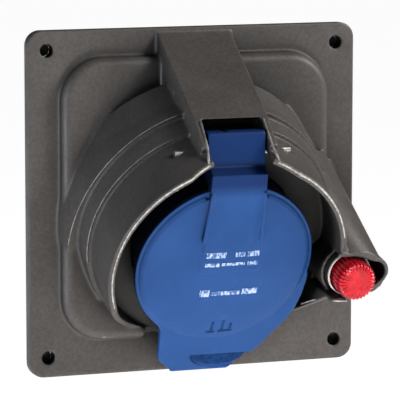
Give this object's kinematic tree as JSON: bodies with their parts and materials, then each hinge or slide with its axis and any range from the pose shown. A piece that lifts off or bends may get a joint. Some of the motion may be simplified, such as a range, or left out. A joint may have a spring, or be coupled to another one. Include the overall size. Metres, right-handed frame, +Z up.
{
  "type": "panel socket",
  "caption": "Industrial round-pin panel socket on a square flange, with a hooded spring lid that tilts down, a red release button and a switch behind it.",
  "frame": {"origin": "centre of the mounting plane, at the back of the gasket where it meets the panel", "axes": "+Z up, +X right seen from the front, -Y out of the panel towards the user"},
  "size_m": [0.113, 0.0877, 0.113],
  "materials": {
    "body": "fine eroded texture",
    "blue": "satin",
    "insert_blue": "satin",
    "red": "glossy, finely knurled",
    "pale": "satin",
    "steel": "zinc plated",
    "spring_steel": "drawn wire",
    "seal": "matt",
    "brass": "turned",
    "copper": "stamped",
    "black": "moulded",
    "black_steel": "blued"
  },
  "bodies": {
    "base": {"faceplate": "body", "hinge_pin": "steel", "lid_spring": "spring_steel", "button_sleeve": "pale", "button_spring": "spring_steel", "collar": "blue", "collar_screws": "steel", "insert": "insert_blue", "lock_ring": "black", "live_contact": "brass", "neutral_contact": "brass", "earth_contact": "brass", "clamp_rings": "spring_steel", "terminal_screws": "steel", "switch_housing": "black", "switch_cover": "black", "cover_screws": "steel", "housing_screws": "steel", "fixed_contacts": "copper", "switch_terminal_screws": "steel", "panel_gasket": "seal"},
    "lid_flap": {"lid": "blue", "lid_gasket": "seal"},
    "release": {"button_cap": "red", "button_stem": "steel", "stem_clip": "black_steel", "contact_bridge": "copper"}
  },
  "joints": [
    {"name": "lid_hinge", "type": "hinge", "parent": "base", "child": "lid_flap", "pos_m": [0, -0.0412, 0.0195], "axis": [-1, 0, 0], "range_deg": [0, 90], "stiffness_Nm_per_rad": 0.02, "springref_deg": -45.84, "deforming": ["lid_spring"]},
    {"name": "button_press", "type": "slide", "parent": "base", "child": "release", "axis": [0, 0.9744, 0.225], "range_m": [0, 0.005], "stiffness_N_per_m": 500, "springref_m": -0.004, "deforming": ["button_spring"]}
  ]
}
